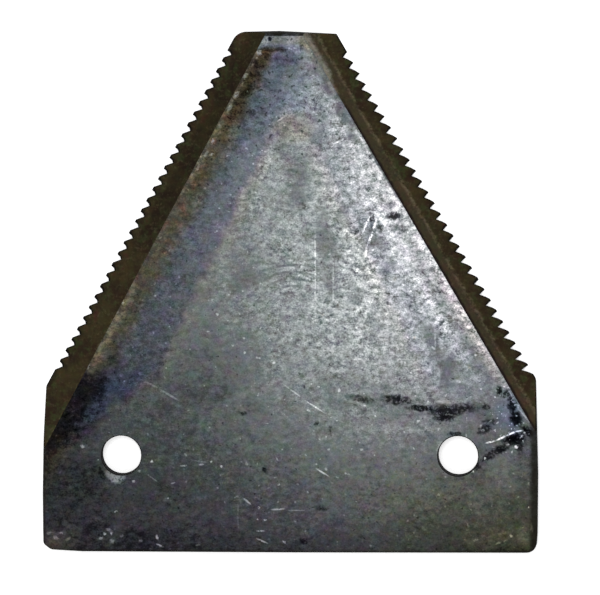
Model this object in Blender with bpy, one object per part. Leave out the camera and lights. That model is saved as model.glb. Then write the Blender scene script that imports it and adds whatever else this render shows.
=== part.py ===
"""A serrated knife section for a mower's cutter bar: one hardened steel plate.

It lies flat, with its underside on z = 0 and its tip towards +Y. The origin is on the
underside, midway between the two rivet holes. Both flanks are ground down to a thin edge
from above, and a row of tapered grooves cut into the underside breaks each edge into teeth.
"""

import math

import bmesh
import bpy
from mathutils import Matrix, Vector

# Plate, in metres
SECTION_WIDTH = 0.0760
SECTION_LENGTH = 0.0800
PLATE_THICKNESS = 0.0020
TIP_WIDTH = 0.0151
SHOULDER_HEIGHT = 0.0261  # base edge to the corner where a flank meets a side
SIDE_STRAIGHT = 0.0173  # base edge to the start of the side's relief
SIDE_RELIEF = 0.00035  # how far the side draws in at the shoulder, clear of the next section
BASE_CORNER_RADIUS = 0.0014
SHOULDER_RADIUS = 0.0015
TIP_CORNER_RADIUS = 0.0009

# Rounding that the blanking die leaves along the top edge
DIE_ROLL_WIDTH = 0.0006
DIE_ROLL_DEPTH = 0.00022
DIE_ROLL_STEPS = 4

# Rivet holes
RIVET_SPACING = 0.0517
RIVET_LINE = 0.0150  # base edge to the line of the holes
RIVET_HOLE_DIAMETER = 0.0061
HOLE_ROLL = 0.00015

# Ground flanks
BEVEL_WIDTH = 0.00415  # square to the flank
EDGE_THICKNESS = 0.00004

# Grooves that form the teeth: they run along X, deepest at the flank
TOOTH_PITCH = 0.00165  # along Y
TOOTH_DEPTH = 0.00103  # along X, from the flank line to a tooth's root
TOOTH_LAND = 0.00006  # left between two grooves at the flank line
GROOVE_ROOT_WIDTH = 0.00018
GROOVE_LENGTH = 0.0050  # along X, from the flank line to where the groove runs out
GROOVE_LEAN = 0.53  # share of the groove's width that lies on its tip side
FIRST_GROOVE = 0.00383  # tip end to the root of the first groove
LAST_GROOVE = 0.0015  # least distance from the last root to the shoulder

# Fineness of the round forms, and how far a cutter runs past what it cuts
CORNER_STEPS = 8
HOLE_STEPS = 64
CUTTER_PAST = 0.0001

STEEL_COLOR = (0.075, 0.078, 0.080, 1.0)
STEEL_ROUGHNESS = 0.42

# Sizes that follow from the driving ones
HALF_WIDTH = SECTION_WIDTH / 2
BASE_Y = -RIVET_LINE
TIP_Y = BASE_Y + SECTION_LENGTH
SHOULDER_Y = BASE_Y + SHOULDER_HEIGHT
SHOULDER_X = HALF_WIDTH - SIDE_RELIEF
FLANK_ANGLE = math.atan2(SHOULDER_X - TIP_WIDTH / 2, TIP_Y - SHOULDER_Y)
BEVEL_ANGLE = math.atan2(PLATE_THICKNESS - EDGE_THICKNESS, BEVEL_WIDTH)


def flank_x(y):
    """Half the width across the tooth tips at this height."""
    return TIP_WIDTH / 2 + (TIP_Y - y) * math.tan(FLANK_ANGLE)


def clear_scene():
    for obj in list(bpy.data.objects):
        bpy.data.objects.remove(obj, do_unlink=True)


def mesh_object(name, bm):
    """Turns a bmesh into an object with its normals facing out."""
    bmesh.ops.recalc_face_normals(bm, faces=bm.faces)
    mesh = bpy.data.meshes.new(name)
    bm.to_mesh(mesh)
    bm.free()
    obj = bpy.data.objects.new(name, mesh)
    bpy.context.scene.collection.objects.link(obj)
    return obj


def loft(bm, rings):
    """Walls between rings of points, one above the other, and a cap on each end."""
    made = [[bm.verts.new(point) for point in ring] for ring in rings]
    for low, high in zip(made, made[1:]):
        for i in range(len(low)):
            j = (i + 1) % len(low)
            bm.faces.new((low[i], low[j], high[j], high[i]))
    bm.faces.new(reversed(made[0]))
    bm.faces.new(made[-1])


# Outline of the blank


def outline_corners():
    """Corners of the blank, anticlockwise from the tip's right end, with their radii."""
    right_down = [
        (TIP_WIDTH / 2, TIP_Y, TIP_CORNER_RADIUS),
        (SHOULDER_X, SHOULDER_Y, SHOULDER_RADIUS),
        (HALF_WIDTH, BASE_Y + SIDE_STRAIGHT, 0.0),
        (HALF_WIDTH, BASE_Y, BASE_CORNER_RADIUS),
    ]
    left_down = [(-x, y, radius) for x, y, radius in right_down]
    return left_down + right_down[::-1]


def inset_corner(before, corner, after, inset):
    """The corner moved in so that both of its sides lie this far inside."""
    into = (corner - before).normalized()
    out = (after - corner).normalized()
    normal_sum = Vector((-into.y - out.y, into.x + out.x))
    return corner + normal_sum * (inset / (1 + into.dot(out)))


def corner_arc(before, corner, after, radius):
    """Points of the fillet at a corner, or the corner itself where it has none."""
    if radius == 0.0:
        return [corner]
    into = (corner - before).normalized()
    out = (after - corner).normalized()
    turn = math.acos(max(-1.0, min(1.0, into.dot(out))))
    start = corner - into * (radius * math.tan(turn / 2))
    centre = start + Vector((-into.y, into.x)) * radius
    return [
        centre + Matrix.Rotation(turn * step / CORNER_STEPS, 2) @ (start - centre)
        for step in range(CORNER_STEPS + 1)
    ]


def outline(inset):
    """The blank's outline, drawn in by an inset, as a list of 2-D points."""
    corners = outline_corners()
    count = len(corners)
    sharp = [Vector((x, y)) for x, y, radius in corners]
    moved = [
        inset_corner(sharp[i - 1], sharp[i], sharp[(i + 1) % count], inset)
        for i in range(count)
    ]
    points = []
    for i, (x, y, radius) in enumerate(corners):
        # A fillet shrinks with the inset, but its points never run together
        inner_radius = max(radius - inset, radius / 10)
        points += corner_arc(moved[i - 1], moved[i], moved[(i + 1) % count], inner_radius)
    return points


# Plate and its ground flanks


def plate_rings():
    """The outline at the underside, then up the wall and over the die roll to the top face."""
    levels = [(0.0, 0.0)]
    for step in range(DIE_ROLL_STEPS + 1):
        angle = math.pi / 2 * step / DIE_ROLL_STEPS
        inset = DIE_ROLL_WIDTH * (1 - math.cos(angle))
        height = PLATE_THICKNESS - DIE_ROLL_DEPTH * (1 - math.sin(angle))
        levels.append((inset, height))
    return [[(p.x, p.y, height) for p in outline(inset)] for inset, height in levels]


def grind_flank(bm, side):
    """Takes off everything above the bevel's plane, which meets the flank at the thin edge."""
    on_edge = Vector((side * TIP_WIDTH / 2, TIP_Y, EDGE_THICKNESS))
    outward = Vector((side * math.cos(FLANK_ANGLE), math.sin(FLANK_ANGLE), 0.0))
    normal = outward * math.sin(BEVEL_ANGLE) + Vector((0.0, 0.0, math.cos(BEVEL_ANGLE)))
    cut = bmesh.ops.bisect_plane(
        bm,
        geom=bm.verts[:] + bm.edges[:] + bm.faces[:],
        dist=1e-8,
        plane_co=on_edge,
        plane_no=normal,
        clear_outer=True,
    )
    edges = [item for item in cut["geom_cut"] if isinstance(item, bmesh.types.BMEdge)]
    bmesh.ops.edgeloop_fill(bm, edges=edges)


def make_plate(material):
    bm = bmesh.new()
    loft(bm, plate_rings())
    for side in (-1, 1):
        grind_flank(bm, side)
    plate = mesh_object("knife_section", bm)
    plate.data.materials.append(material)
    plate.data.shade_smooth()
    plate.data.set_sharp_from_angle(angle=math.radians(30))
    return plate


# Cutters


def hide_cutter(cutter):
    cutter.hide_render = True
    cutter.display_type = "WIRE"


def cut_with(obj, cutter, name):
    boolean = obj.modifiers.new(name, "BOOLEAN")
    boolean.operation = "DIFFERENCE"
    boolean.object = cutter
    boolean.solver = "EXACT"
    boolean.use_self = True


def groove_rows():
    """The height of each groove's root, from the tip down."""
    first = TIP_Y - FIRST_GROOVE
    count = int((first - SHOULDER_Y - LAST_GROOVE) / TOOTH_PITCH) + 1
    return [first - row * TOOTH_PITCH for row in range(count)]


def add_groove(bm, side, y):
    """A flat-topped V that climbs towards the flank and breaks out through the bevel."""
    rise_across = math.tan(BEVEL_ANGLE) * math.cos(FLANK_ANGLE)
    root_height = EDGE_THICKNESS + TOOTH_DEPTH * rise_across
    climb = root_height / (GROOVE_LENGTH - TOOTH_DEPTH)
    height_at_flank = climb * GROOVE_LENGTH
    spread = (TOOTH_PITCH - TOOTH_LAND - GROOVE_ROOT_WIDTH) / height_at_flank
    run_out_x = flank_x(y) - GROOVE_LENGTH
    stations = (
        run_out_x - CUTTER_PAST / climb,
        flank_x(y) + TOOTH_PITCH,
    )
    floor = -2 * CUTTER_PAST
    sections = []
    for x in stations:
        ceiling = climb * (x - run_out_x)
        tip_foot = GROOVE_ROOT_WIDTH / 2 + GROOVE_LEAN * spread * (ceiling - floor)
        base_foot = GROOVE_ROOT_WIDTH / 2 + (1 - GROOVE_LEAN) * spread * (ceiling - floor)
        sections.append(
            [
                (side * x, y - base_foot, floor),
                (side * x, y + tip_foot, floor),
                (side * x, y + GROOVE_ROOT_WIDTH / 2, ceiling),
                (side * x, y - GROOVE_ROOT_WIDTH / 2, ceiling),
            ]
        )
    loft(bm, sections)


def make_groove_cutter(side, name):
    bm = bmesh.new()
    for y in groove_rows():
        add_groove(bm, side, y)
    cutter = mesh_object(name, bm)
    hide_cutter(cutter)
    return cutter


def make_hole_mesh():
    """A rivet hole's wall, flared at the top face as the punch leaves it."""
    radius = RIVET_HOLE_DIAMETER / 2
    profile = [
        (radius, -CUTTER_PAST),
        (radius, PLATE_THICKNESS - HOLE_ROLL),
        (radius + HOLE_ROLL + CUTTER_PAST, PLATE_THICKNESS + CUTTER_PAST),
    ]
    bm = bmesh.new()
    rings = []
    for ring_radius, height in profile:
        angles = [2 * math.pi * step / HOLE_STEPS for step in range(HOLE_STEPS)]
        rings.append([(ring_radius * math.cos(a), ring_radius * math.sin(a), height) for a in angles])
    loft(bm, rings)
    bmesh.ops.recalc_face_normals(bm, faces=bm.faces)
    mesh = bpy.data.meshes.new("rivet_hole")
    bm.to_mesh(mesh)
    bm.free()
    mesh.shade_smooth()
    mesh.set_sharp_from_angle(angle=math.radians(30))
    return mesh


def steel():
    material = bpy.data.materials.new("hardened_steel")
    material.use_nodes = True
    shader = material.node_tree.nodes["Principled BSDF"]
    shader.inputs["Base Color"].default_value = STEEL_COLOR
    shader.inputs["Metallic"].default_value = 1.0
    shader.inputs["Roughness"].default_value = STEEL_ROUGHNESS
    return material


def main():
    clear_scene()
    plate = make_plate(steel())
    hole_mesh = make_hole_mesh()
    for side, word in ((-1, "left"), (1, "right")):
        hole = bpy.data.objects.new(f"{word}_hole_cutter", hole_mesh)
        bpy.context.scene.collection.objects.link(hole)
        hole.location.x = side * RIVET_SPACING / 2
        hide_cutter(hole)
        cut_with(plate, hole, f"{word}_hole")
        grooves = make_groove_cutter(side, f"{word}_groove_cutter")
        cut_with(plate, grooves, f"{word}_grooves")


main()
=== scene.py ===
import math
import random

import bmesh
import bpy
from mathutils import Matrix, Vector


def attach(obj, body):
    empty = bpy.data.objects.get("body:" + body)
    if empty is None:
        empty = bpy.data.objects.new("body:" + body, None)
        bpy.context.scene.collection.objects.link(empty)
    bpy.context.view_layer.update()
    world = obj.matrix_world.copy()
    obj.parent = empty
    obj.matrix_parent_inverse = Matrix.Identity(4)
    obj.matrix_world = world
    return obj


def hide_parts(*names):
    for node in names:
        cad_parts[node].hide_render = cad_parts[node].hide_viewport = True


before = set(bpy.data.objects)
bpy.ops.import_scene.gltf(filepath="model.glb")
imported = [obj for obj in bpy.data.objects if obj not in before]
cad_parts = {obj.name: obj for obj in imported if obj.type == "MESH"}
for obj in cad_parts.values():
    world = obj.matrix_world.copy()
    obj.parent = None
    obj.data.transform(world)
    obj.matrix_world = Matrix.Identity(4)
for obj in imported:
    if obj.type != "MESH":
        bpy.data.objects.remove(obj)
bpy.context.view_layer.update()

metresPerMm = 0.001
print("frame loaded")


# Shader helpers

class Field:  # one output socket; arithmetic on it adds Math nodes
    def __init__(self, shade, socket):
        self.shade = shade
        self.socket = socket

    def maths(self, operation, *values):
        return self.shade.node("ShaderNodeMath", {"operation": operation}, values)

    def __add__(self, other):
        return self.maths("ADD", self, other)

    def __radd__(self, other):
        return self.maths("ADD", other, self)

    def __sub__(self, other):
        return self.maths("SUBTRACT", self, other)

    def __rsub__(self, other):
        return self.maths("SUBTRACT", other, self)

    def __mul__(self, other):
        return self.maths("MULTIPLY", self, other)

    def __rmul__(self, other):
        return self.maths("MULTIPLY", other, self)

    def __pow__(self, other):
        return self.maths("POWER", self, other)

    def __abs__(self):
        return self.maths("ABSOLUTE", self)


class Shade:  # one node tree, and the few kinds of node this part uses again and again
    def __init__(self, tree):
        self.tree = tree

    def node(self, kind, settings=None, inputs=None, out=0):
        made = self.tree.nodes.new(kind)
        for name, value in (settings or {}).items():
            if name == "stops":
                self.fillRamp(made.color_ramp, value)
            else:
                setattr(made, name, value)
        pairs = inputs.items() if isinstance(inputs, dict) else enumerate(inputs or ())
        for key, value in pairs:
            if isinstance(value, Field):
                self.tree.links.new(value.socket, made.inputs[key])
            else:
                made.inputs[key].default_value = value
        return Field(self, made.outputs[out]) if made.outputs else None

    def fillRamp(self, ramp, stops):
        while len(ramp.elements) > 1:
            ramp.elements.remove(ramp.elements[-1])
        ramp.elements[0].position = stops[0][0]
        ramp.elements[0].color = stops[0][1]
        for position, color in stops[1:]:
            ramp.elements.new(position).color = color

    def ease(self, value, low, high):  # 0 at low, 1 at high, smooth between; low may be the larger
        return self.node(
            "ShaderNodeMapRange",
            {"interpolation_type": "SMOOTHSTEP"},
            {"Value": value, "From Min": low, "From Max": high},
        )

    def noise(self, place, scale, detail=2.0, roughness=0.5, distortion=0.0):
        return self.node(
            "ShaderNodeTexNoise",
            {"noise_dimensions": "3D"},
            {
                "Vector": place,
                "Scale": scale,
                "Detail": detail,
                "Roughness": roughness,
                "Distortion": distortion,
            },
        )

    def mix(self, amount, first, second, blend="MIX"):
        settings = {"data_type": "RGBA", "blend_type": blend, "clamp_result": True}
        return self.node("ShaderNodeMix", settings, {0: amount, 6: first, 7: second}, out=2)

    def larger(self, first, second):
        return self.node("ShaderNodeMath", {"operation": "MAXIMUM"}, (first, second))

    def smaller(self, first, second):
        return self.node("ShaderNodeMath", {"operation": "MINIMUM"}, (first, second))

    def shift(self, place, offset):
        return self.node("ShaderNodeVectorMath", {"operation": "ADD"}, (place, offset))

    def stretch(self, place, factors):
        return self.node("ShaderNodeVectorMath", {"operation": "MULTIPLY"}, (place, factors))

    def dot(self, place, vector):
        settings = {"operation": "DOT_PRODUCT"}
        return self.node("ShaderNodeVectorMath", settings, (place, vector), out=1)

    # 1 in the middle of an oval, 0 from its rim on. Only node types that hand vectors on without a
    # hidden conversion, so that Cycles works them out one after another and its stack stays small.
    def spot(self, place, centre, size, turn=0.0, soft=0.6):
        cosine, sine = math.cos(math.radians(turn)), math.sin(math.radians(turn))
        lengthwise = Vector((cosine, sine, 0.0)) / size[0]
        crosswise = Vector((-sine, cosine, 0.0)) / size[1]
        middle = Vector((*centre, 0.0))
        along = self.dot(place, lengthwise) - lengthwise.dot(middle)
        aside = self.dot(place, crosswise) - crosswise.dot(middle)
        return self.ease(along * along + aside * aside, 1.0, (1.0 - soft) ** 2)


def tone(red, green, blue):  # a colour as a screen shows it, 0 to 255, turned into light
    channels = [(value / 255) ** 2.2 for value in (red, green, blue)]
    return (*channels, 1.0)


# Camera: a long lens almost straight above, tilted so that the tip's end and the right side show

photoView = {
    "distance": 1200.0,  # mm
    "lens": 471.6,
    "sensorWidth": 36.0,
    "clip": (0.01, 20.0),  # m
    "pictureSize": (600, 595),  # pixels
    "tiltToTip": 7.01,  # degrees
    "tiltToRight": -4.54,
    "roll": 0.51,
    "aim": (0.0, 25.0, 0.0),  # mm
    "aimFromCentre": (1.72, -0.89),  # mm that the picture's centre lies from the aim
    "pixelsPerMm": 6.55,
}


def cameraTurn():
    return (
        Matrix.Rotation(math.radians(photoView["roll"]), 3, "Z")
        @ Matrix.Rotation(math.radians(photoView["tiltToTip"]), 3, "X")
        @ Matrix.Rotation(math.radians(photoView["tiltToRight"]), 3, "Y")
    ).transposed()


def cameraPlace():  # mm
    away = cameraTurn() @ Vector((*photoView["aimFromCentre"], photoView["distance"]))
    return Vector(photoView["aim"]) + away


def makeCamera():
    lensData = bpy.data.cameras.new("photoCamera")
    lensData.lens = photoView["lens"]
    lensData.sensor_width = photoView["sensorWidth"]
    lensData.clip_start, lensData.clip_end = photoView["clip"]
    camera = bpy.data.objects.new("photoCamera", lensData)
    place = cameraPlace() * metresPerMm
    camera.matrix_world = Matrix.Translation(place) @ cameraTurn().to_4x4()
    bpy.context.scene.collection.objects.link(camera)
    bpy.context.scene.camera = camera


def onFace(column, row):  # the point of the upper face, in mm, that shows at a pixel of the picture
    width, height = photoView["pictureSize"]
    across = (column - width / 2) / width * photoView["sensorWidth"]
    down = (row - height / 2) / width * photoView["sensorWidth"]
    ray = cameraTurn() @ Vector((across, -down, -photoView["lens"]))
    start = cameraPlace()
    point = start + ray * ((bladeForm["thickness"] - start.z) / ray.z)
    return point.x, point.y


makeCamera()
print("camera placed")


# Studio: a pale floor, an even pale surround and soft lamps

studio = {
    "surround": 0.80,  # what lights matt surfaces; the eye and polished steel see white
    "floorColor": (0.86, 0.86, 0.86, 1.0),
    "floorLift": 0.46,  # glow that only the camera sees, so that the floor reads white
    "floorSize": 6.0,  # m
    "floorDrop": 0.00002,  # m below the underside
    "lamps": (
        # name, place and aim in m, size in m, watts
        ("keyLamp", (-0.02, 0.30, 0.72), (0.0, 0.03, 0.0), 0.30, 1.6),
        ("fillLamp", (-0.45, -0.40, 0.60), (0.0, 0.02, 0.0), 0.55, 1.0),
    ),
}


def rayKinds(shade):  # 1 for a ray from the camera, off a gloss, or through something clear
    outputs = shade.node("ShaderNodeLightPath").socket.node.outputs
    names = ("Is Camera Ray", "Is Glossy Ray", "Is Transmission Ray")
    return [Field(shade, outputs[name]) for name in names]


def makeSurround():
    world = bpy.data.worlds.new("paleSurround")
    world.use_nodes = True
    world.node_tree.nodes.clear()
    shade = Shade(world.node_tree)
    camera, glossy, through = rayKinds(shade)
    seen = shade.larger(shade.larger(camera, glossy), through)
    level = studio["surround"]
    color = shade.mix(seen, (level, level, level, 1.0), (1.0, 1.0, 1.0, 1.0))
    light = shade.node("ShaderNodeBackground", None, {"Color": color, "Strength": 1.0})
    shade.node("ShaderNodeOutputWorld", None, {"Surface": light})
    bpy.context.scene.world = world


def makeFloor():
    half = studio["floorSize"] / 2
    mesh = bpy.data.meshes.new("paleFloor")
    corners = [(-half, -half), (half, -half), (half, half), (-half, half)]
    mesh.from_pydata([(x, y, -studio["floorDrop"]) for x, y in corners], [], [(0, 1, 2, 3)])
    floor = bpy.data.objects.new("paleFloor", mesh)
    bpy.context.scene.collection.objects.link(floor)
    material = bpy.data.materials.new("paleFloor")
    material.use_nodes = True
    material.node_tree.nodes.clear()
    shade = Shade(material.node_tree)
    camera, glossy, through = rayKinds(shade)
    matt = shade.node("ShaderNodeBsdfDiffuse", None, {"Color": studio["floorColor"]})
    glow = shade.node("ShaderNodeEmission", None, {"Strength": studio["floorLift"]})
    lifted = shade.node("ShaderNodeAddShader", None, (matt, glow))
    either = shade.node("ShaderNodeMixShader", None, (camera, matt, lifted))
    shade.node("ShaderNodeOutputMaterial", None, {"Surface": either})
    mesh.materials.append(material)


def makeLamps():
    for name, place, aim, size, watts in studio["lamps"]:
        lamp = bpy.data.lights.new(name, "AREA")
        lamp.size = size
        lamp.energy = watts
        obj = bpy.data.objects.new(name, lamp)
        facing = (Vector(aim) - Vector(place)).to_track_quat("-Z", "Y")
        obj.matrix_world = Matrix.Translation(place) @ facing.to_matrix().to_4x4()
        obj.visible_camera = False
        bpy.context.scene.collection.objects.link(obj)


def setLook():
    bpy.context.scene.view_settings.view_transform = "Standard"


makeSurround()
makeFloor()
makeLamps()
setLook()
print("studio ready")


# The blade's form, in mm: the same plate as the frame's, as worn and reground by hand

bladeForm = {
    "thickness": 2.0,
    "halfWidth": 37.99,
    "edgeThickness": 0.09,  # half way along a flank
    "bevelRows": (60.0, 36.0, 12.0),  # along y; what a bevel's plane is laid through
    "ridgeRadius": 0.35,  # rounding where a ground flank meets the flat
    "ridgeSteps": 5,
    "rollWidth": 0.6,  # rounding that the blanking die left along the top edge
    "rollDepth": 0.22,
    "rollSteps": 12,
    "cornerSteps": 16,
    "holes": (("left", -25.76, 3.01), ("right", 25.84, 3.05)),  # middle along x and radius
    "holeRoll": 0.16,
    "holeFlare": (0.05, 0.09),  # out and up, where a hole opens on the underside
    "holeSteps": 96,
    "cutBeyond": 0.2,  # how far a cutter stands past the plate
    "sharpAngle": 8,  # degrees
    "flatWeight": 80,
    "seed": 11,
}

# Lines seen from above, each x = sign * (reach - lean * y); roots are where two teeth meet
flanks = {
    "left": {
        "sign": -1,
        "reach": 43.16,
        "lean": 0.5503,
        "ridgeReach": 38.14,  # where the ground flank meets the flat
        "ridgeLean": 0.5440,
        "firstRoot": 61.33,
        "pitch": 1.6510,
        "depth": 0.97,
        "deepen": 0.0,
        "blunt": 0.12,
        # Across (share of the pitch, towards the base) and height below the groove's roof
        "profile": ((-0.67, 1.0), (-0.467, 0.69), (-0.267, 0.24), (-0.02, 0.0), (0.33, 1.0)),
    },
    "right": {
        "sign": 1,
        "reach": 44.36,
        "lean": 0.5690,
        "ridgeReach": 39.76,
        "ridgeLean": 0.5756,
        "firstRoot": 60.96,
        "pitch": 1.6520,
        "depth": 1.06,
        "deepen": 0.22,  # share more at the base end
        "blunt": 0.04,
        "profile": ((-0.533, 1.0), (-0.267, 0.45), (-0.01, 0.0), (0.20, 0.55), (0.467, 1.0)),
    },
}

grooveForm = {
    "teeth": 30,
    "length": 5.0,  # along x, from the flank line to where a groove runs out
    "drift": 0.035,  # mm that a groove wanders along the flank
    "depthSpread": 0.07,
    "bluntSpread": (0.3, 1.8),
    "deepenFrom": 22,  # the tooth, counted from the tip
    "deepenOver": 7,  # teeth
    "footRun": 0.9,  # share of its height that a groove's wall runs on below
    "inwardRun": 1.0,  # mm that a cutter starts before its groove
    "outwardRun": 1.2,  # share of the pitch that it ends past the flank
}


def flankX(flank, y):
    return flank["reach"] - flank["lean"] * y


def outlineCorners():
    left, right = flanks["left"], flanks["right"]
    return [
        (-1.0, 64.95, 0.0),
        (-flankX(left, 64.82), 64.82, 2.3),
        (-flankX(left, 10.45), 10.45, 0.9),
        (-37.70, 4.0, 0.0),
        (-37.97, -6.0, 0.0),
        (-bladeForm["halfWidth"], -13.75, 0.9),
        (-36.80, -14.65, 1.2),
        (-32.00, -14.92, 0.0),
        (0.0, -14.995, 0.0),
        (37.66, -14.93, 1.55),
        (37.86, -12.0, 0.0),
        (bladeForm["halfWidth"], -3.0, 0.0),
        (flankX(right, 11.65), 11.65, 1.5),
        (flankX(right, 64.5), 64.5, 0.25),
    ]


def insetCorner(before, corner, after, inset):
    into = (corner - before).normalized()
    out = (after - corner).normalized()
    normalSum = Vector((-into.y - out.y, into.x + out.x))
    return corner + normalSum * (inset / (1 + into.dot(out)))


def cornerArc(before, corner, after, radius):
    if radius == 0.0:
        return [corner]
    into = (corner - before).normalized()
    out = (after - corner).normalized()
    turn = math.acos(max(-1.0, min(1.0, into.dot(out))))
    start = corner - into * (radius * math.tan(turn / 2))
    centre = start + Vector((-into.y, into.x)) * radius
    steps = bladeForm["cornerSteps"]
    return [
        centre + Matrix.Rotation(turn * step / steps, 2) @ (start - centre)
        for step in range(steps + 1)
    ]


def bladeOutline(inset):
    corners = outlineCorners()
    count = len(corners)
    sharp = [Vector((x, y)) for x, y, radius in corners]
    moved = [
        insetCorner(sharp[i - 1], sharp[i], sharp[(i + 1) % count], inset)
        for i in range(count)
    ]
    points = []
    for i, (x, y, radius) in enumerate(corners):
        innerRadius = max(radius - inset, radius / 10)
        points += cornerArc(moved[i - 1], moved[i], moved[(i + 1) % count], innerRadius)
    return points


def loft(bm, rings, wallSlots=None, endSlots=(0, 0)):
    made = [[bm.verts.new(point) for point in ring] for ring in rings]
    for level, (low, high) in enumerate(zip(made, made[1:])):
        for i in range(len(low)):
            j = (i + 1) % len(low)
            face = bm.faces.new((low[i], low[j], high[j], high[i]))
            face.material_index = wallSlots[level] if wallSlots else 0
    bm.faces.new(list(reversed(made[0]))).material_index = endSlots[0]
    bm.faces.new(made[-1]).material_index = endSlots[1]


def shaveAbove(bm, point, normal, slot):  # takes off what lies above a plane and closes the cut
    cut = bmesh.ops.bisect_plane(
        bm,
        geom=bm.verts[:] + bm.edges[:] + bm.faces[:],
        dist=1e-6,
        plane_co=point,
        plane_no=normal,
        clear_outer=True,
    )
    edges = [item for item in cut["geom_cut"] if isinstance(item, bmesh.types.BMEdge)]
    filled = bmesh.ops.edgeloop_fill(bm, edges=edges)
    for face in filled["faces"]:
        face.material_index = slot


def ridgeX(flank, y):
    return flank["ridgeReach"] - flank["ridgeLean"] * y


def bevelNormal(flank):
    sign, top = flank["sign"], bladeForm["thickness"]
    tipRow, middleRow, baseRow = bladeForm["bevelRows"]
    upper = Vector((sign * ridgeX(flank, tipRow), tipRow, top))
    lower = Vector((sign * ridgeX(flank, baseRow), baseRow, top))
    edge = Vector((sign * flankX(flank, middleRow), middleRow, bladeForm["edgeThickness"]))
    normal = (lower - upper).cross(edge - upper).normalized()
    return upper, normal if normal.z > 0 else -normal


def grindFlank(bm, flank):
    radius, steps = bladeForm["ridgeRadius"], bladeForm["ridgeSteps"]
    onRidge, normal = bevelNormal(flank)
    up = Vector((0.0, 0.0, 1.0))
    outward = Vector((normal.x, normal.y, 0.0)).normalized()
    bevelTurn = math.acos(normal.z)
    centre = onRidge - up * radius - outward * radius * math.tan(bevelTurn / 2)
    for step in range(steps):
        turn = bevelTurn * (1 - step / steps)
        facing = outward * math.sin(turn) + up * math.cos(turn)
        slot = slotNumber["groundBevel"] if step == 0 else slotNumber["scaledFace"]
        shaveAbove(bm, centre + facing * radius, facing, slot)


def newObject(name, bm, finishes):
    bmesh.ops.recalc_face_normals(bm, faces=bm.faces)
    mesh = bpy.data.meshes.new(name)
    bm.to_mesh(mesh)
    bm.free()
    for finish in finishes:
        mesh.materials.append(finish)
    obj = bpy.data.objects.new(name, mesh)
    bpy.context.scene.collection.objects.link(obj)
    return obj


# A prism that climbs outward and breaks out of the bevel
def addGroove(bm, flank, y, depth, blunt):
    sign = flank["sign"]
    onRidge, normal = bevelNormal(flank)
    outRise = sign * normal.x / normal.z
    atFlank = onRidge.z - outRise * (flankX(flank, y) - sign * onRidge.x)
    atFlank -= normal.y / normal.z * (y - onRidge.y)
    length = grooveForm["length"]
    climb = (atFlank + depth * outRise) / (length - depth)
    fullHeight = climb * length
    width = flank["pitch"] - blunt
    roof = [(-across * width, below * fullHeight) for across, below in flank["profile"]]
    for end, beside in ((0, 1), (-1, -2)):  # the feet run on, straight, to below the plate
        across, below = roof[end]
        slope = (across - roof[beside][0]) / (below - roof[beside][1])
        drop = fullHeight * grooveForm["footRun"]
        foot = (across + slope * drop, below + drop)
        roof.insert(0 if end == 0 else len(roof), foot)
    runOut = flankX(flank, y) - length
    rings = []
    beyond = flankX(flank, y) + flank["pitch"] * grooveForm["outwardRun"]
    for x in (runOut - grooveForm["inwardRun"], beyond):
        ceiling = climb * (x - runOut)
        rings.append([(sign * x, y + across, ceiling - below) for across, below in roof])
    loft(bm, rings)


def grooveCutter(flank, chance, name):
    bm = bmesh.new()
    for tooth in range(grooveForm["teeth"]):
        y = flank["firstRoot"] - tooth * flank["pitch"]
        y += chance.uniform(-1, 1) * grooveForm["drift"]
        depth = flank["depth"] * (1 + chance.uniform(-1, 1) * grooveForm["depthSpread"])
        late = max(0.0, (tooth - grooveForm["deepenFrom"]) / grooveForm["deepenOver"])
        depth *= 1 + flank["deepen"] * late
        blunt = flank["blunt"] * chance.uniform(*grooveForm["bluntSpread"])
        addGroove(bm, flank, y, depth, blunt)
    return newObject(name, bm, [materials["grooveCut"]])


def holeCutter(centreX, radius, name):
    roll, top, beyond = bladeForm["holeRoll"], bladeForm["thickness"], bladeForm["cutBeyond"]
    flare, flareTop = bladeForm["holeFlare"]
    profile = [(radius + flare, -beyond), (radius + flare, 0.0), (radius, flareTop)]
    rollSteps = 4
    for step in range(rollSteps + 1):
        turn = math.pi / 2 * step / rollSteps
        profile.append((radius + roll * (1 - math.cos(turn)), top - roll * (1 - math.sin(turn))))
    profile.append((radius + roll + flare, top + beyond))
    steps = bladeForm["holeSteps"]
    angles = [math.tau * step / steps for step in range(steps)]
    rings = [
        [(centreX + out * math.cos(angle), out * math.sin(angle), height) for angle in angles]
        for out, height in profile
    ]
    bm = bmesh.new()
    loft(bm, rings)
    return newObject(name, bm, [materials["shearedWall"]])


def cutAway(obj, cutter):
    boolean = obj.modifiers.new(cutter.name, "BOOLEAN")
    boolean.operation = "DIFFERENCE"
    boolean.solver = "EXACT"
    boolean.use_self = True
    boolean.material_mode = "TRANSFER"
    boolean.object = cutter


def settleModifiers(obj):
    graph = bpy.context.evaluated_depsgraph_get()
    final = bpy.data.meshes.new_from_object(obj.evaluated_get(graph))
    obj.modifiers.clear()
    old = obj.data
    obj.data = final
    bpy.data.meshes.remove(old)


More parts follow.
